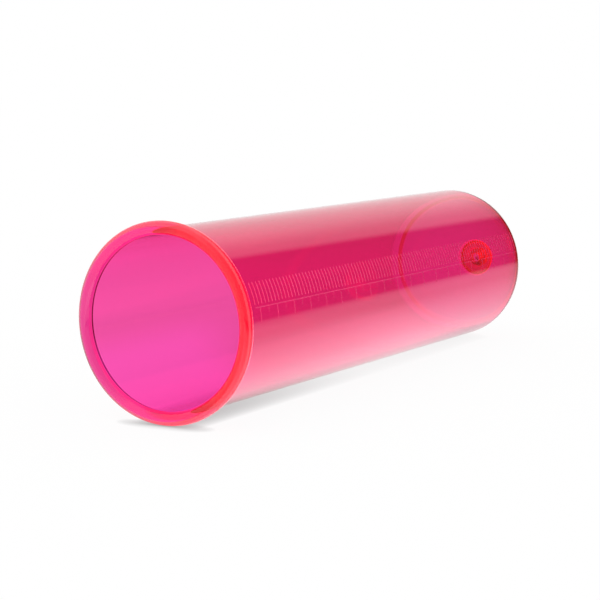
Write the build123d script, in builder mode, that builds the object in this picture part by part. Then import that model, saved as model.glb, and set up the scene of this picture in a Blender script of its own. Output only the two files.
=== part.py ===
"""Clear acrylic vacuum cylinder: a tube with a round rim, a domed end and a hose nozzle.

The cylinder lies on its side along +Y, with its open mouth at -Y. Z is up, and the rim rests
on Z = 0. Each piece is turned about the tube's axis from a profile of (radius, distance from
the mouth face).
"""
from build123d import *
import math
import os

# ---- driving sizes, millimetres and degrees ----
tube_diameter = 57.15  # outside of the straight tube
wall = 1.875  # tube, shoulder and dome alike
straight_length = 204.1  # mouth face to the start of the rounded shoulder
rim_overhang = 2.3  # how far the round rim stands out past the tube
shoulder_inside_radius = 1.0  # inside of the bend between tube and cone
cone_slope = 63.0  # the end's conical flank, measured from the end plane
shoulder_land = 3.1  # conical flank left on the tube, from the bend to the bond line
dome_land = 3.4  # conical flank on the dome, from the bond line to the crown
neck_diameter = 13.0  # raised neck on the crown that carries the nozzle
neck_height = 0.5  # straight side of the neck above its fillet
neck_fillet = 1.5  # concave root between crown and neck
collar_diameter = 13.0  # nozzle's stop collar, seated on the neck
collar_thickness = 1.6
collar_edge = 0.4  # rounding of the collar's front corner
shank_diameter = 8.4  # nozzle's shank, bonded in the neck
stem_diameter = 7.0  # hose seat between collar and barb
stem_length = 3.2
barb_height = 0.6  # step of the barb over the stem
barb_land = 1.6
barb_taper = 3.2  # lead-in cone from the barb to the tip
tip_diameter = 6.4
nozzle_bore = 4.0  # air passage
bond_gap = 0.05  # radial room for cement round the tube and round the shank

# ---- rim and tube ----
tube_r = tube_diameter / 2
bore_r = tube_r - wall
bead_r = (wall + rim_overhang) / 2  # section radius of the full-round rim
bead_centre_r = bore_r + bead_r
rim_r = tube_r + rim_overhang
rebate_r = tube_r + bond_gap
rebate_rise = math.degrees(math.acos((rebate_r - bead_centre_r) / bead_r))

# ---- shoulder bend, conical flank and bond line ----
slope = math.radians(cone_slope)
bend_turn = 90 - cone_slope
bend_centre_r = bore_r - shoulder_inside_radius
bend_outside_r = shoulder_inside_radius + wall
flank = Vector(-math.cos(slope), math.sin(slope))
flank_start = Vector(bend_centre_r, straight_length) + bend_outside_r * Vector(
    math.sin(slope), math.cos(slope)
)
bond_edge = flank_start + shoulder_land * flank
crown_edge = bond_edge + dome_land * flank
bond_inside = bond_edge - Vector(wall / math.sin(slope), 0)

# ---- crown, neck and nozzle stations ----
crown_r = crown_edge.X / math.sin(slope)
crown_centre_y = crown_edge.Y - crown_r * math.cos(slope)
inside_crown_r = crown_r - wall
neck_r = neck_diameter / 2
fillet_centre_r = neck_r + neck_fillet
fillet_centre_y = crown_centre_y + math.sqrt(
    (crown_r + neck_fillet) ** 2 - fillet_centre_r**2
)
fillet_lean = math.degrees(
    math.atan2(fillet_centre_y - crown_centre_y, fillet_centre_r)
)
neck_top = fillet_centre_y + neck_height
shank_r = shank_diameter / 2
socket_r = shank_r + bond_gap
socket_floor = crown_centre_y + math.sqrt(inside_crown_r**2 - socket_r**2)
socket_lean = math.degrees(math.acos(socket_r / inside_crown_r))
collar_face = neck_top + collar_thickness
stem_r = stem_diameter / 2
barb_r = stem_r + barb_height
barb_start = collar_face + stem_length
overall_length = barb_start + barb_land + barb_taper

# The mouth face lies half the overall length before the origin, and the rim touches Z = 0.
mouth_centre = (0, -overall_length / 2, rim_r)
profile_plane = Plane(origin=mouth_centre, x_dir=(1, 0, 0), z_dir=(0, 0, 1))
tube_axis = Axis(mouth_centre, (0, 1, 0))

# ---- rim bead: a full-round ring, rebated behind to take the end of the tube ----
with BuildPart() as rim_bead:
    with BuildSketch(profile_plane):
        with BuildLine():
            CenterArc((bead_centre_r, bead_r), bead_r, -180, 180 + rebate_rise)
            Polyline(
                (rebate_r, bead_r * (1 + math.sin(math.radians(rebate_rise)))),
                (rebate_r, bead_r),
                (bore_r, bead_r),
            )
        make_face()
    revolve(axis=tube_axis)

# ---- tube: straight wall, then a bent shoulder whose edge is faced flat for the dome ----
with BuildPart() as cylinder_tube:
    with BuildSketch(profile_plane):
        with BuildLine():
            bend_centre = (bend_centre_r, straight_length)
            outer_bend = CenterArc(bend_centre, bend_outside_r, 0, bend_turn)
            inner_bend = CenterArc(bend_centre, shoulder_inside_radius, 0, bend_turn)
            Polyline(outer_bend @ 1, bond_edge, bond_inside, inner_bend @ 1)
            Polyline(inner_bend @ 0, (bore_r, bead_r), (tube_r, bead_r), outer_bend @ 0)
        make_face()
    revolve(axis=tube_axis)

# ---- dome: conical flank, spherical crown and a filleted neck with the nozzle's socket ----
with BuildPart() as end_dome:
    with BuildSketch(profile_plane):
        with BuildLine():
            centre = (0, crown_centre_y)
            crown = CenterArc(centre, crown_r, bend_turn, fillet_lean - bend_turn)
            inside = CenterArc(
                centre, inside_crown_r, bend_turn, socket_lean - bend_turn
            )
            root = CenterArc(
                (fillet_centre_r, fillet_centre_y), neck_fillet, 180, fillet_lean
            )
            Polyline(
                root @ 0,
                (neck_r, neck_top),
                (socket_r, neck_top),
                (socket_r, socket_floor),
            )
            Polyline(inside @ 0, bond_inside, bond_edge, crown @ 0)
        make_face()
    revolve(axis=tube_axis)

# ---- hose nozzle: shank in the neck, stop collar, stem, one barb and a tapered tip ----
with BuildPart() as hose_nozzle:
    with BuildSketch(profile_plane):
        with BuildLine():
            Polyline(
                (nozzle_bore / 2, socket_floor),
                (shank_r, socket_floor),
                (shank_r, neck_top),
                (collar_diameter / 2, neck_top),
                (collar_diameter / 2, collar_face),
                (stem_r, collar_face),
                (stem_r, barb_start),
                (barb_r, barb_start),
                (barb_r, barb_start + barb_land),
                (tip_diameter / 2, overall_length),
                (nozzle_bore / 2, overall_length),
                close=True,
            )
        make_face()
    revolve(axis=tube_axis)
    collar_rings = hose_nozzle.edges().filter_by(GeomType.CIRCLE)
    collar_rings = collar_rings.filter_by(lambda ring: ring.radius == collar_diameter / 2)
    fillet(collar_rings.sort_by(Axis.Y)[-1], collar_edge)

os.makedirs("parts", exist_ok=True)
pieces = {
    "rim_bead": rim_bead,
    "cylinder_tube": cylinder_tube,
    "end_dome": end_dome,
    "hose_nozzle": hose_nozzle,
}
for name, piece in pieces.items():
    piece.part.label = name
    export_step(piece.part, f"parts/{name}.step")
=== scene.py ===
"""Looks of a clear pink acrylic vacuum cylinder that lies on a white table.

Every acrylic piece is turned about the cylinder's axis, in the sizes of the solids, and is dyed all
through. The cylinder lies along +Y, its open mouth is at -Y and its scale faces +X. Angles round
the axis start from straight up and grow towards the scale.
"""
import math

import bmesh
import bpy
from mathutils import Euler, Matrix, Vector


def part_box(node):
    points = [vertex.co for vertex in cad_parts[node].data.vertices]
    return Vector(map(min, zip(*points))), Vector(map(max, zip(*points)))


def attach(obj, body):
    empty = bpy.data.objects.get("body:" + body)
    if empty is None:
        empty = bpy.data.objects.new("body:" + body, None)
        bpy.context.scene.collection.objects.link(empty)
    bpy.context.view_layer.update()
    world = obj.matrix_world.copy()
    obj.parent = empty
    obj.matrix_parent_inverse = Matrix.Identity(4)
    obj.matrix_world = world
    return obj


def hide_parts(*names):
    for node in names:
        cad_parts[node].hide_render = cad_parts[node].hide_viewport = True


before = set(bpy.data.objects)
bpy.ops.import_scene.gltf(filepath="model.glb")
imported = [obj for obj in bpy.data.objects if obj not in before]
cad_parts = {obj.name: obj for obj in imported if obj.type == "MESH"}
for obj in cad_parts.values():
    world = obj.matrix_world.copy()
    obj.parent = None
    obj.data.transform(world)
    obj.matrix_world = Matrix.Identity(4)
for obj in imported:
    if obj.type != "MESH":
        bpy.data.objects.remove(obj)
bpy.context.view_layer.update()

MM = 0.001

# ---- places, read from the solids ----
rim_low, rim_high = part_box("rim_bead")
nozzle_low, nozzle_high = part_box("hose_nozzle")
MOUTH_Y = rim_low.y
AXIS_Z = (rim_low.z + rim_high.z) / 2
TIP_Y = nozzle_high.y - MOUTH_Y  # from here on, distances are from the mouth face

# ---- sizes of the solids ----
TUBE_R = 28.575 * MM
THICKNESS = 1.875 * MM
STRAIGHT = 204.1 * MM
RIM_OVERHANG = 2.3 * MM
BEND_INSIDE = 1.0 * MM
SLOPE = math.radians(63)
SHOULDER_LAND = 3.1 * MM
DOME_LAND = 3.4 * MM
NECK_R = 6.5 * MM
NECK_HEIGHT = 0.5 * MM
NECK_FILLET = 1.5 * MM
COLLAR_R = 6.5 * MM
COLLAR_THICKNESS = 1.6 * MM
COLLAR_EDGE = 0.4 * MM
SHANK_R = 4.2 * MM
STEM_R = 3.5 * MM
STEM_LENGTH = 3.2 * MM
BARB_HEIGHT = 0.6 * MM
BARB_LAND = 1.6 * MM
TIP_R = 3.2 * MM
PASSAGE_R = 2.0 * MM

# ---- finish of the turned pieces ----
STEPS = 256  # facets round the axis
ARC_STEP = math.radians(7)
ARC_LENGTH = 0.9 * MM
JOINT = 0.005 * MM  # between two bonded faces
SAME_POINT = JOINT / 10  # points of a profile closer than this are one
CEMENT_ON_TUBE = 1.6 * MM  # spread inside, on each side of the dome's bond
CEMENT_ON_DOME = 0.4 * MM
RIM_ZONES = (-150, -75, -40, -18)  # degrees round the bead's section where its finish changes
LOOP = 0.15 * MM  # supporting loops beside each corner keep long faces flat
LONG = 1.2 * MM  # stretches shorter than this need no loops
SHARP = math.radians(35)

# ---- worked out from the sizes ----
BORE_R = TUBE_R - THICKNESS
BEAD_R = (THICKNESS + RIM_OVERHANG) / 2
BEAD_CENTRE = BORE_R + BEAD_R
BEND_R = BEND_INSIDE + THICKNESS
BEND_CENTRE = BORE_R - BEND_INSIDE
BEND_TURN = math.pi / 2 - SLOPE
REBATE_R = TUBE_R + JOINT  # in the rim, round the tube's end


def radians(angles):
    """Angles in degrees, as radians."""
    return [math.radians(angle) for angle in angles]


def polar(centre, radius, angle):
    """A point of a profile at an angle on a circle, from the outward direction."""
    return (
        centre[0] + radius * math.cos(angle),
        centre[1] + radius * math.sin(angle),
    )


def arc(centre, radius, start, end):
    """Points along an arc of a profile."""
    step = min(ARC_STEP, ARC_LENGTH / radius)
    count = max(2, math.ceil(abs(end - start) / step))
    return [
        polar(centre, radius, start + (end - start) * k / count)
        for k in range(count + 1)
    ]


def along(point, length):
    """A point further up the conical flank."""
    return (point[0] - length * math.cos(SLOPE), point[1] + length * math.sin(SLOPE))


FLANK_START = polar((BEND_CENTRE, STRAIGHT), BEND_R, BEND_TURN)
BOND_EDGE = along(FLANK_START, SHOULDER_LAND)
CROWN_EDGE = along(BOND_EDGE, DOME_LAND)
BOND_INSIDE = (BOND_EDGE[0] - THICKNESS / math.sin(SLOPE), BOND_EDGE[1])
CROWN_R = CROWN_EDGE[0] / math.sin(SLOPE)
CROWN_CENTRE = (0, CROWN_EDGE[1] - CROWN_R * math.cos(SLOPE))
INSIDE_R = CROWN_R - THICKNESS
FILLET_CENTRE = (
    NECK_R + NECK_FILLET,
    CROWN_CENTRE[1]
    + math.sqrt((CROWN_R + NECK_FILLET) ** 2 - (NECK_R + NECK_FILLET) ** 2),
)
FILLET_LEAN = math.atan2(FILLET_CENTRE[1] - CROWN_CENTRE[1], FILLET_CENTRE[0])
NECK_TOP = FILLET_CENTRE[1] + NECK_HEIGHT
SOCKET_FLOOR = CROWN_CENTRE[1] + math.sqrt(INSIDE_R**2 - SHANK_R**2)
SOCKET_LEAN = math.acos(SHANK_R / INSIDE_R)
COLLAR_FACE = NECK_TOP + COLLAR_THICKNESS
BARB_START = COLLAR_FACE + STEM_LENGTH


# ---- what the faces are ----
class Face:
    """What a stretch of a profile is, as values that its faces carry into the material.

    bonded and bore are 1 where a face is bonded, or lies inside the bore. cement is how much cement
    tints it, haze how much it is scuffed, and the last kind how bright a painted light is there:
    emission that stands in for light that the wall has gathered. These three are given on one side
    and opposite it. towards is that side's angle in degrees, and a higher focus keeps it narrower.
    """

    kinds = ("bonded", "cement", "bore", "haze", "painted_glow")

    def __init__(
        self, bonded=0, cement=(0, 0), bore=0, haze=(0, 0), painted_glow=(0, 0), towards=90, focus=1
    ):
        self.both_sides = ((bonded, bonded), cement, (bore, bore), haze, painted_glow)
        self.focus = focus
        self.towards = math.radians(towards)

    def values(self, turn):
        """The face's values at an angle round the axis."""
        share = ((1 + math.cos(turn - self.towards)) / 2) ** self.focus
        return [away + (near - away) * share for near, away in self.both_sides]


# painted light: the last values of these faces give emission that stands in for light gathered in
# the wall. It is painted on most faces, brightest on the rim's scale side, and strong round the
# nozzle and on the dome's flank.
WALL_PAINTED_GLOW = (0.032, 0.032)
CEMENTED = (1, 0.1)
# the side where the rim's painted light is brightest; the rim's scuffing follows the same side
RIM_PAINTED_GLOW_SIDE = {"towards": 75, "focus": 1.6}

WALL = Face(painted_glow=WALL_PAINTED_GLOW)
BORE = Face(bore=1, painted_glow=WALL_PAINTED_GLOW)
CROWN = Face()
CEMENT = Face(cement=CEMENTED, painted_glow=(0.04, 0.12), towards=0)
FLANK = Face(painted_glow=(0.5, 0))
RIM_INSIDE = Face(painted_glow=(0.9, 0), towards=120)
RIM_FRONT = Face(painted_glow=(1.5, 0.01), **RIM_PAINTED_GLOW_SIDE)
RIM_SHOULDER = Face(haze=(0, 0.35), painted_glow=(1.5, 0.01), **RIM_PAINTED_GLOW_SIDE)
RIM_EDGE = Face(haze=(0.2, 0.4), painted_glow=(1.5, 0.01), **RIM_PAINTED_GLOW_SIDE)
RIM_OUTSIDE = Face(painted_glow=(1.2, 0.01), **RIM_PAINTED_GLOW_SIDE)
THICK = Face(painted_glow=(0.35, 0.05), towards=40)
THICK_EDGE = Face(painted_glow=(0.7, 0.15), towards=40)
CLEAR_BOND = Face(bonded=1)
DYED_BOND = Face(bonded=1, cement=CEMENTED, towards=0)


# ---- turned pieces ----
def with_loops(outline):
    """The outline with a supporting point near both ends of every long stretch."""
    finished = []
    for (point, face), (end, _) in zip(outline, outline[1:] + outline[:1]):
        a, b = Vector(point), Vector(end)
        finished.append((a, face))
        if (b - a).length > LONG:
            step = (b - a).normalized() * LOOP
            finished += [(a + step, face), (b - step, face)]
    return finished


def turned(name, stretches):
    """A closed piece turned about the axis. Each stretch is its points and what its faces are."""
    outline = [(p, face) for points, face in stretches for p in points]
    outline = [
        (p, face)
        for (p, face), (q, _) in zip(outline, outline[1:] + outline[:1])
        if math.dist(p, q) > SAME_POINT
    ]
    outline = with_loops(outline)
    mesh = bpy.data.meshes.new(name)
    build = bmesh.new()
    layers = [build.faces.layers.float.new(kind) for kind in Face.kinds]
    rings = []
    for k in range(STEPS):
        turn = math.tau * k / STEPS
        side, up = math.sin(turn), math.cos(turn)
        rings.append(
            [
                build.verts.new((p.x * side, MOUTH_Y + p.y, AXIS_Z + p.x * up))
                for p, _ in outline
            ]
        )
    for k, (near, far) in enumerate(zip(rings, rings[1:] + rings[:1])):
        turn = math.tau * (k + 0.5) / STEPS
        for j, (_, kind) in enumerate(outline):
            after = (j + 1) % len(outline)
            face = build.faces.new((near[j], near[after], far[after], far[j]))
            for layer, value in zip(layers, kind.values(turn)):
                face[layer] = value
            face.smooth = True
    bmesh.ops.recalc_face_normals(build, faces=build.faces)
    build.to_mesh(mesh)
    build.free()
    mesh.set_sharp_from_angle(angle=SHARP)
    piece = bpy.data.objects.new(name, mesh)
    bpy.context.scene.collection.objects.link(piece)
    return piece


def make_rim():
    """The full-round bead, from the bore round its front to the collar behind the tube's end."""
    centre = (BEAD_CENTRE, BEAD_R)
    end = math.acos((REBATE_R - BEAD_CENTRE) / BEAD_R)
    inside, front, shoulder, edge = radians(RIM_ZONES)
    back = arc(centre, BEAD_R, edge, end)
    seat = [back[-1], (REBATE_R, BEAD_R - JOINT), (BORE_R, BEAD_R - JOINT)]
    return turned(
        "clear_rim_bead",
        [
            (arc(centre, BEAD_R, -math.pi, inside)[:-1], RIM_INSIDE),
            (arc(centre, BEAD_R, inside, front)[:-1], RIM_FRONT),
            (arc(centre, BEAD_R, front, shoulder)[:-1], RIM_SHOULDER),
            (arc(centre, BEAD_R, shoulder, edge)[:-1], RIM_EDGE),
            (back[:-1], RIM_OUTSIDE),
            (seat, CLEAR_BOND),
        ],
    )


def make_tube():
    """The straight wall and its bent shoulder. Its front end is bonded into the rim."""
    centre = (BEND_CENTRE, STRAIGHT)
    covered = BEAD_R + math.sqrt(BEAD_R**2 - (REBATE_R - BEAD_CENTRE) ** 2)
    bond_face = BOND_EDGE[1] - JOINT
    bend = arc(centre, BEND_R, 0, BEND_TURN)
    inner_bend = arc(centre, BEND_INSIDE, BEND_TURN, 0)
    return turned(
        "clear_tube",
        [
            ([(BORE_R, BEAD_R), (TUBE_R, BEAD_R)], CLEAR_BOND),
            ([(TUBE_R, covered)] + bend[:-1], WALL),
            (bend[-1:], FLANK),
            ([(BOND_EDGE[0], bond_face)], DYED_BOND),
            ([(BOND_INSIDE[0], bond_face)], CEMENT),
            ([along(BOND_INSIDE, -CEMENT_ON_TUBE)] + inner_bend[:-1], WALL),
            (inner_bend[-1:], BORE),
        ],
    )


def make_dome():
    """The conical flank, the spherical crown and the neck round the nozzle's shank."""
    neck = arc(FILLET_CENTRE, NECK_FILLET, FILLET_LEAN + math.pi, math.pi)
    return turned(
        "clear_dome",
        [
            ([BOND_EDGE], FLANK),
            (arc(CROWN_CENTRE, CROWN_R, BEND_TURN, FILLET_LEAN), CROWN),
            (neck, THICK_EDGE),
            ([(NECK_R, NECK_TOP), (SHANK_R + JOINT, NECK_TOP)], CLEAR_BOND),
            (arc(CROWN_CENTRE, INSIDE_R, SOCKET_LEAN, BEND_TURN), CROWN),
            ([along(BOND_INSIDE, CEMENT_ON_DOME)], CEMENT),
            ([BOND_INSIDE], DYED_BOND),
        ],
    )


def make_nozzle():
    """Shank, stop collar, stem, barb and tapered tip, with the passage through them."""
    shank = [(SHANK_R, SOCKET_FLOOR), (SHANK_R, NECK_TOP + JOINT)]
    edge = (COLLAR_R - COLLAR_EDGE, COLLAR_FACE - COLLAR_EDGE)
    collar = [(COLLAR_R, NECK_TOP + JOINT)] + arc(edge, COLLAR_EDGE, 0, math.pi / 2)
    stem = [
        (STEM_R, COLLAR_FACE),
        (STEM_R, BARB_START),
        (STEM_R + BARB_HEIGHT, BARB_START),
        (STEM_R + BARB_HEIGHT, BARB_START + BARB_LAND),
        (TIP_R, TIP_Y),
        (PASSAGE_R, TIP_Y),
        (PASSAGE_R, SOCKET_FLOOR),
    ]
    return turned(
        "clear_nozzle",
        [(shank, CLEAR_BOND), (collar[:-1], THICK_EDGE), (collar[-1:] + stem, THICK)],
    )


# ---- node trees ----
class Value:
    """A node's socket. Python's operators on it add the Math nodes."""

    def __init__(self, nodes, socket):
        self.nodes = nodes
        self.socket = socket

    def maths(self, operation, *inputs):
        return self.nodes.add(
            "ShaderNodeMath", {"operation": operation}, dict(enumerate(inputs))
        )

    def __add__(self, other):
        return self.maths("ADD", self, other)

    def __sub__(self, other):
        return self.maths("SUBTRACT", self, other)

    def __rsub__(self, other):
        return self.maths("SUBTRACT", other, self)

    def __mul__(self, other):
        return self.maths("MULTIPLY", self, other)

    __radd__ = __add__
    __rmul__ = __mul__


class Nodes:
    """The nodes of one tree."""

    def __init__(self, tree):
        self.tree = tree
        tree.nodes.clear()

    def add(self, kind, settings=None, inputs=None, output=0):
        """Adds a node, sets its settings, then its inputs, and returns one output."""
        node = self.tree.nodes.new(kind)
        for name, value in (settings or {}).items():
            setattr(node, name, value)
        for name, value in (inputs or {}).items():
            if isinstance(value, Value):
                self.tree.links.new(value.socket, node.inputs[name])
            else:
                node.inputs[name].default_value = value
        return Value(self, node.outputs[output]) if node.outputs else None

    def split(self, vector):
        """The three parts of a vector."""
        parts = self.add("ShaderNodeSeparateXYZ", {}, {"Vector": vector})
        return [Value(self, socket) for socket in parts.socket.node.outputs]

    def place(self):
        """The object's own x, y and z."""
        return self.split(self.add("ShaderNodeTexCoord", {}, {}, "Object"))

    def mix(self, share, first, second):
        """A colour between two others. The numbers are the colour sockets of a Mix node."""
        return self.add("ShaderNodeMix", {"data_type": "RGBA"}, {0: share, 6: first, 7: second}, 2)

    def mix_shaders(self, share, first, second):
        """A surface between two others."""
        return self.add("ShaderNodeMixShader", {}, {0: share, 1: first, 2: second})

    def ease(self, value, span):
        """0 below the span, 1 above it, and smooth across it."""
        return self.add(
            "ShaderNodeMapRange",
            {"interpolation_type": "SMOOTHSTEP"},
            {"Value": value, "From Min": span[0], "From Max": span[1]},
        )


def shader_nodes(owner):
    """The empty node tree of a material or world."""
    owner.use_nodes = True
    return Nodes(owner.node_tree)


# ---- dyed acrylic ----
WHITE = (1, 1, 1, 1)
BLACK = (0, 0, 0, 1)
LEFT_BY_WALL = (0.88, 0.085, 0.38)  # share of red, green and blue that comes through one wall
SLANT = math.radians(36)  # of the light inside the wall for which those shares hold
ACRYLIC_IOR = 1.49
WALL_DYE = 1.0
RIM_DYE = 0.75
# painted light: the red emission colour of the faces' painted light
PAINTED_GLOW_RED = (1.0, 0.004, 0.03, 1)
CEMENT_TINT = (0.95, 0.04, 0.33, 1)
CEMENT_THROUGH = (0.9, 0.15, 0.4, 1)
SCUFFED = (0.72, 0.34, 0.42, 1)

# painted light: emission on the lower bore that stands in for light from the table below, with the
# spans over which it fades
BORE_PAINTED_LIGHT = (0.13, 0.008, 0.1, 1)
BORE_PAINTED_BELOW = (AXIS_Z - 15 * MM, AXIS_Z - 3 * MM)
BORE_PAINTED_AWAY = (-6 * MM, 8 * MM)
BORE_PAINTED_NEAR_MOUTH = (MOUTH_Y + 45 * MM, MOUTH_Y + 90 * MM)


def dyed_acrylic(name, dye):
    """Clear fluorescent acrylic, dyed all through.

    Edges and thick parts carry painted light: emission that stands in for light that the dye
    gives off and the wall gathers. The lower bore near the mouth carries painted light that stands
    in for the bright table below. Bonded faces let light straight through, and cement tints it at
    the dome.
    """
    path = THICKNESS / math.cos(SLANT)
    taken = [-dye * math.log(share) / path for share in LEFT_BY_WALL]
    density = max(taken)
    material = bpy.data.materials.new(name)
    nodes = shader_nodes(material)
    face = {
        kind: nodes.add("ShaderNodeAttribute", {"attribute_name": kind}, {}, "Fac")
        for kind in Face.kinds
    }
    x, y, z = nodes.place()
    # painted light on the lower bore near the mouth, standing in for light from the table below
    bore_painted_light = (1 - nodes.ease(z, BORE_PAINTED_BELOW)) * (1 - nodes.ease(x, BORE_PAINTED_AWAY))
    bore_painted_light = bore_painted_light * (1 - nodes.ease(y, BORE_PAINTED_NEAR_MOUTH))
    # painted light on edges and thick parts, emission standing in for light that the wall gathers
    painted_glow_light = nodes.mix(face["painted_glow"], BLACK, PAINTED_GLOW_RED)
    acrylic = nodes.add(
        "ShaderNodeBsdfPrincipled",
        {},
        {
            "Base Color": nodes.mix(face["cement"], WHITE, CEMENT_TINT),
            "Roughness": 0.0,
            "IOR": ACRYLIC_IOR,
            "Transmission Weight": 1.0,
            "Emission Color": nodes.mix(face["bore"] * bore_painted_light, painted_glow_light, BORE_PAINTED_LIGHT),
            "Emission Strength": 1.0,
        },
    )
    scuffed = nodes.add("ShaderNodeBsdfDiffuse", {}, {"Color": SCUFFED})
    open_face = nodes.mix_shaders(face["haze"], acrylic, scuffed)
    clear_joint = nodes.add("ShaderNodeBsdfTransparent")
    dyed_joint = nodes.add("ShaderNodeBsdfTransparent", {}, {"Color": CEMENT_THROUGH})
    joint = nodes.mix_shaders(face["cement"], clear_joint, dyed_joint)
    volume = nodes.add(
        "ShaderNodeVolumeAbsorption",
        {},
        {"Color": (*[1 - t / density for t in taken], 1), "Density": density},
    )
    surface = nodes.mix_shaders(face["bonded"], open_face, joint)
    nodes.add("ShaderNodeOutputMaterial", {}, {"Surface": surface, "Volume": volume})
    return material


# ---- engraved scale ----
LINE_WIDTH = 0.28 * MM
LINE_DEPTH = 0.05 * MM
LINE_POINTS = 12  # along each mark
SCALE_ZERO = 1.1 * MM  # from the mouth face
SCALE_END = 204 * MM
FINE_START = 8.63 * MM
FINE_PITCH = 2 * MM
LONG_PITCH = 10 * MM  # the short marks stand halfway between the long ones

# angles round the axis, in degrees
FINE_SPAN = (62.8, 76.4)
BASE_ANGLE = 78.3
SHORT_END = 82.2
LONG_END = 87.1

# painted light: the lines' colours are painted lighter, with brighter painted emission, near the
# mouth, and darker and dimmer far from it
LINE_PAINTED_LIGHTER = (1.0, 0.2, 0.45, 1)
LINE_PAINTED_DARKER = (0.9, 0.1, 0.28, 1)
LINE_PAINTED_GLOW_NEAR = (0.36, 0.002, 0.015, 1)
LINE_PAINTED_GLOW_FAR = (0.12, 0, 0, 1)
LINE_PAINTED_FADING = (MOUTH_Y + 40 * MM, MOUTH_Y + 180 * MM)
LINE_ROUGHNESS = 0.7


def frosted_line(name, cover):
    """The rough floor of an engraved line, which scatters the light that the wall gathers.

    That light is painted: emission, brighter near the mouth, where their colour is also painted
    lighter. cover is how much of what is behind it a line hides.
    """
    material = bpy.data.materials.new(name)
    nodes = shader_nodes(material)
    _, y, _ = nodes.place()
    # painted light and shade: lighter colour and brighter emission near the mouth
    far = nodes.ease(y, LINE_PAINTED_FADING)
    surface = nodes.add(
        "ShaderNodeBsdfPrincipled",
        {},
        {
            "Base Color": nodes.mix(far, LINE_PAINTED_LIGHTER, LINE_PAINTED_DARKER),
            "Roughness": LINE_ROUGHNESS,
            "Alpha": cover,
            "Emission Color": nodes.mix(far, LINE_PAINTED_GLOW_NEAR, LINE_PAINTED_GLOW_FAR),
            "Emission Strength": 1.0,
        },
    )
    nodes.add("ShaderNodeOutputMaterial", {}, {"Surface": surface})
    return material


def marks_tree():
    """Lines engraved round the tube at an even pitch."""
    tree = bpy.data.node_groups.new("engraved_marks", "GeometryNodeTree")
    tree.interface.new_socket("Geometry", in_out="OUTPUT", socket_type="NodeSocketGeometry")
    for name, kind in (
        ("Count", "Int"),
        ("Pitch", "Float"),
        ("First", "Float"),
        ("Start Angle", "Float"),
        ("Sweep Angle", "Float"),
        ("Width", "Float"),
        ("Depth", "Float"),
        ("Radius", "Float"),
        ("Axis Height", "Float"),
        ("Material", "Material"),
    ):
        tree.interface.new_socket(name, in_out="INPUT", socket_type=f"NodeSocket{kind}")
    nodes = Nodes(tree)
    sources = tree.nodes.new("NodeGroupInput").outputs
    given = {socket.name: Value(nodes, socket) for socket in sources}

    bend = nodes.add(
        "GeometryNodeCurveArc",
        {"mode": "RADIUS"},
        {
            "Resolution": LINE_POINTS,
            "Radius": given["Radius"],
            "Start Angle": given["Start Angle"],
            "Sweep Angle": given["Sweep Angle"],
        },
    )
    upright = nodes.add(
        "GeometryNodeTransform", {}, {"Geometry": bend, "Rotation": (math.pi / 2, 0, 0)}
    )
    section = nodes.add(
        "GeometryNodeCurvePrimitiveQuadrilateral",
        {"mode": "RECTANGLE"},
        {"Width": given["Depth"], "Height": given["Width"]},
    )
    line = nodes.add(
        "GeometryNodeCurveToMesh",
        {},
        {"Curve": upright, "Profile Curve": section, "Fill Caps": True},
    )
    start = nodes.add(
        "ShaderNodeCombineXYZ", {}, {"Y": given["First"], "Z": given["Axis Height"]}
    )
    row = nodes.add(
        "GeometryNodeMeshLine",
        {"mode": "OFFSET"},
        {
            "Count": given["Count"],
            "Start Location": start,
            "Offset": nodes.add("ShaderNodeCombineXYZ", {}, {"Y": given["Pitch"]}),
        },
    )
    copies = nodes.add("GeometryNodeInstanceOnPoints", {}, {"Points": row, "Instance": line})
    real = nodes.add("GeometryNodeRealizeInstances", {}, {"Geometry": copies})
    painted = nodes.add(
        "GeometryNodeSetMaterial", {}, {"Geometry": real, "Material": given["Material"]}
    )
    nodes.add("NodeGroupOutput", {}, {"Geometry": painted})
    return tree


def engraved_row(tree, name, material, first, pitch, span):
    """One row of marks, from one angle round the axis to another."""
    start_angle, stop_angle = radians(span)
    values = {
        "Count": int((SCALE_END - first) / pitch) + 1,
        "Pitch": pitch,
        "First": MOUTH_Y + first,
        "Start Angle": math.pi / 2 - start_angle,
        "Sweep Angle": start_angle - stop_angle,
        "Width": LINE_WIDTH,
        "Depth": LINE_DEPTH,
        "Radius": TUBE_R,
        "Axis Height": AXIS_Z,
        "Material": material,
    }
    holder = bpy.data.objects.new("holder", bpy.data.meshes.new("holder"))
    bpy.context.scene.collection.objects.link(holder)
    modifier = holder.modifiers.new("marks", "NODES")
    modifier.node_group = tree
    for item in tree.interface.items_tree:
        if item.in_out == "INPUT":
            modifier[item.identifier] = values[item.name]
    evaluated = holder.evaluated_get(bpy.context.evaluated_depsgraph_get())
    mesh = bpy.data.meshes.new_from_object(evaluated)
    mesh.name = name
    bpy.data.objects.remove(holder)
    piece = bpy.data.objects.new(name, mesh)
    bpy.context.scene.collection.objects.link(piece)
    return piece


def make_baseline(material):
    """The line along the tube between the fine marks and the others."""
    mesh = bpy.data.meshes.new("baseline")
    build = bmesh.new()
    bmesh.ops.create_cube(build, size=1.0)
    size = Vector((LINE_WIDTH, SCALE_END - FINE_START, LINE_DEPTH))
    centre = Vector((0, MOUTH_Y + (SCALE_END + FINE_START) / 2, TUBE_R))
    turn = Euler((0, math.radians(BASE_ANGLE), 0))
    for vert in build.verts:
        place = vert.co * size + centre
        place.rotate(turn)
        vert.co = place + Vector((0, 0, AXIS_Z))
    build.to_mesh(mesh)
    build.free()
    mesh.materials.append(material)
    piece = bpy.data.objects.new("baseline", mesh)
    bpy.context.scene.collection.objects.link(piece)
    return piece


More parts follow.
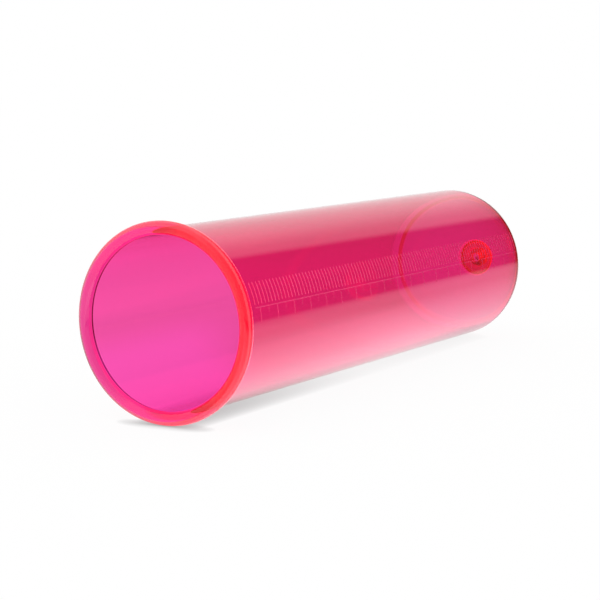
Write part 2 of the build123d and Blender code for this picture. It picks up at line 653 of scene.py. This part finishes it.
# ---- room ----
# The dark side lies between two turns from +Y towards +X, in degrees, and below a height, given as
# a direction's z. Each pair is the span over which it comes or goes. Beside it the room is dimmer.
DARK_STARTS = (4.5, 10)
DARK_ENDS = (95, 120)
DARK_TOP = (0.6, 0.8)
DARKNESS = 0.9
DIM_STARTS = (-16, 6)
DIMNESS = 0.38


def passed(nodes, depth):
    """A mask of light that has been mirrored, or bent, by any surface on its way."""
    bounces = nodes.add("ShaderNodeLightPath", {}, {}, f"{depth} Depth")
    return nodes.add("ShaderNodeMath", {"operation": "MINIMUM"}, {0: bounces, 1: 1.0})


def studio_world():
    """An even white room. Mirrored and bent light also sees its dark side, past the closed end."""
    world = bpy.data.worlds.new("white room")
    bpy.context.scene.world = world
    nodes = shader_nodes(world)
    x, y, z = nodes.split(nodes.add("ShaderNodeTexCoord", {}, {}, "Generated"))
    turn = nodes.add("ShaderNodeMath", {"operation": "ARCTAN2"}, {0: x, 1: y})
    dim = DIMNESS * nodes.ease(turn, radians(DIM_STARTS))
    dark = nodes.ease(turn, radians(DARK_STARTS)) * (1 - nodes.ease(turn, radians(DARK_ENDS)))
    dark = dark * (1 - nodes.ease(z, DARK_TOP))
    mirrored = passed(nodes, "Glossy")
    bent = passed(nodes, "Transmission")
    either = mirrored + bent - mirrored * bent
    brightness = 1 - dim * (1 - dark) * mirrored - DARKNESS * dark * either
    background = nodes.add(
        "ShaderNodeBackground", {}, {"Color": nodes.mix(brightness, BLACK, WHITE)}
    )
    nodes.add("ShaderNodeOutputWorld", {}, {"Surface": background})


# ---- table ----
TABLE_HALF = 3.0  # metres
PAINT = 0.05  # the part of its white that shadows change
CONTACT_REACH = 4.7 * MM
CONTACT_RAYS = 8
CONTACT_SHADE = 0.62  # under the rim
CONTACT_FADING = (-130 * MM, 10 * MM)
CONTACT_FADED = 0.88  # share of the shade that is gone past the cylinder's middle

# pink light beside the cylinder, on the scale's side
PINK_LIGHT = (1.0, 0.62, 0.9, 1)
PINK_STARTS = (5 * MM, 25 * MM)
PINK_ENDS = (30 * MM, 90 * MM)
PINK_FADING = (0, 150 * MM)
PINK_FADED = 0.4

# how much darker mirrored light sees the table, far out on the scale's side and past the middle
BESIDE_STARTS = (100 * MM, 300 * MM)
BESIDE_DARKNESS = 0.9
BEHIND_STARTS = (20 * MM, 100 * MM)
BEHIND_OUTSIDE = 0.1
BEHIND_INSIDE = 0.5


def table_white():
    """White that is mostly its own light, so that shadows stay pale, with a soft contact shade."""
    material = bpy.data.materials.new("white table")
    nodes = shader_nodes(material)
    glossy = nodes.add("ShaderNodeLightPath", {}, {}, "Is Glossy Ray")
    through = nodes.add("ShaderNodeLightPath", {}, {}, "Is Transmission Ray")
    outside = glossy * (1 - through)  # light that the acrylic's outside mirrors
    inside = passed(nodes, "Glossy") - outside  # other light that was mirrored on its way
    x, y, _ = nodes.place()
    pink = nodes.ease(x, PINK_STARTS) * (1 - nodes.ease(x, PINK_ENDS))
    pink = pink * (1 - PINK_FADED * nodes.ease(y, PINK_FADING)) * outside
    open_air = nodes.add(
        "ShaderNodeAmbientOcclusion", {"samples": CONTACT_RAYS}, {"Distance": CONTACT_REACH}, "AO"
    )
    shade = CONTACT_SHADE * (1 - CONTACT_FADED * nodes.ease(y, CONTACT_FADING))
    behind = nodes.ease(y, BEHIND_STARTS)
    own_light = (1 - PAINT) - shade * (1 - open_air)
    own_light = own_light * (
        1 - BESIDE_DARKNESS * nodes.ease(x, BESIDE_STARTS) * (outside + inside)
    )
    own_light = own_light * (1 - behind * (BEHIND_OUTSIDE * outside + BEHIND_INSIDE * inside))
    paint = nodes.add("ShaderNodeBsdfDiffuse", {}, {"Color": (PAINT, PAINT, PAINT, 1)})
    white = nodes.add("ShaderNodeEmission", {}, {"Color": nodes.mix(own_light, BLACK, WHITE)})
    strip = nodes.add("ShaderNodeEmission", {}, {"Color": nodes.mix(pink, BLACK, PINK_LIGHT)})
    both = nodes.add("ShaderNodeAddShader", {}, {0: paint, 1: white})
    both = nodes.add("ShaderNodeAddShader", {}, {0: both, 1: strip})
    nodes.add("ShaderNodeOutputMaterial", {}, {"Surface": both})
    return material


def make_table():
    """The table, tipped so that both the rim and the tube's far end rest on it."""
    tilt = math.atan2(RIM_OVERHANG, STRAIGHT - BEAD_R)
    contact = MOUTH_Y + BEAD_R
    half = TABLE_HALF
    corners = [
        (x, y, (y - contact) * math.tan(tilt))
        for x, y in ((-half, -half), (half, -half), (half, half), (-half, half))
    ]
    mesh = bpy.data.meshes.new("table")
    mesh.from_pydata(corners, [], [(0, 1, 2, 3)])
    mesh.materials.append(table_white())
    table = bpy.data.objects.new("table", mesh)
    bpy.context.scene.collection.objects.link(table)


# ---- camera ----
SENSOR = 36  # millimetres, as the lens
LENS = 108.96
CAMERA_FROM_MOUTH = Vector((300.75, -446.4, 74.27)) * MM
CAMERA_VIEW = Vector((-0.4908, 0.8624, -0.1241))
NEAREST_SEEN = 0.01  # metres
FARTHEST_SEEN = 20  # metres


def make_camera():
    """A long lens in front of the mouth, to the scale's side and a little above."""
    camera = bpy.data.cameras.new("camera")
    camera.sensor_width = SENSOR
    camera.lens = LENS
    camera.clip_start = NEAREST_SEEN
    camera.clip_end = FARTHEST_SEEN
    holder = bpy.data.objects.new("camera", camera)
    bpy.context.scene.collection.objects.link(holder)
    mouth = Vector((0, MOUTH_Y + BEAD_R, AXIS_Z))
    holder.location = mouth + CAMERA_FROM_MOUTH
    holder.rotation_euler = CAMERA_VIEW.to_track_quat("-Z", "Y").to_euler()
    bpy.context.scene.camera = holder


make_camera()
studio_world()
make_table()

wall_acrylic = dyed_acrylic("dyed pink acrylic", WALL_DYE)
rim_acrylic = dyed_acrylic("dyed pink acrylic, rim", RIM_DYE)
for piece, node, acrylic in (
    (make_rim(), "rim_bead", rim_acrylic),
    (make_tube(), "cylinder_tube", wall_acrylic),
    (make_dome(), "end_dome", wall_acrylic),
    (make_nozzle(), "hose_nozzle", wall_acrylic),
):
    piece.data.materials.append(acrylic)
    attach(piece, "root")
    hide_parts(node)

fine_line = frosted_line("engraved line, fine", cover=0.5)
short_line = frosted_line("engraved line, short", cover=0.18)
long_line = frosted_line("engraved line, long", cover=0.3)
first_short = SCALE_ZERO + LONG_PITCH / 2
first_long = SCALE_ZERO + LONG_PITCH
marks = marks_tree()
for name, finish, first, pitch, span in (
    ("fine_marks", fine_line, FINE_START, FINE_PITCH, FINE_SPAN),
    ("short_marks", short_line, first_short, LONG_PITCH, (BASE_ANGLE, SHORT_END)),
    ("long_marks", long_line, first_long, LONG_PITCH, (BASE_ANGLE, LONG_END)),
):
    row = engraved_row(marks, name, finish, first, pitch, span)
    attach(row, "root")
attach(make_baseline(short_line), "root")

bpy.context.scene.view_settings.view_transform = "Standard"
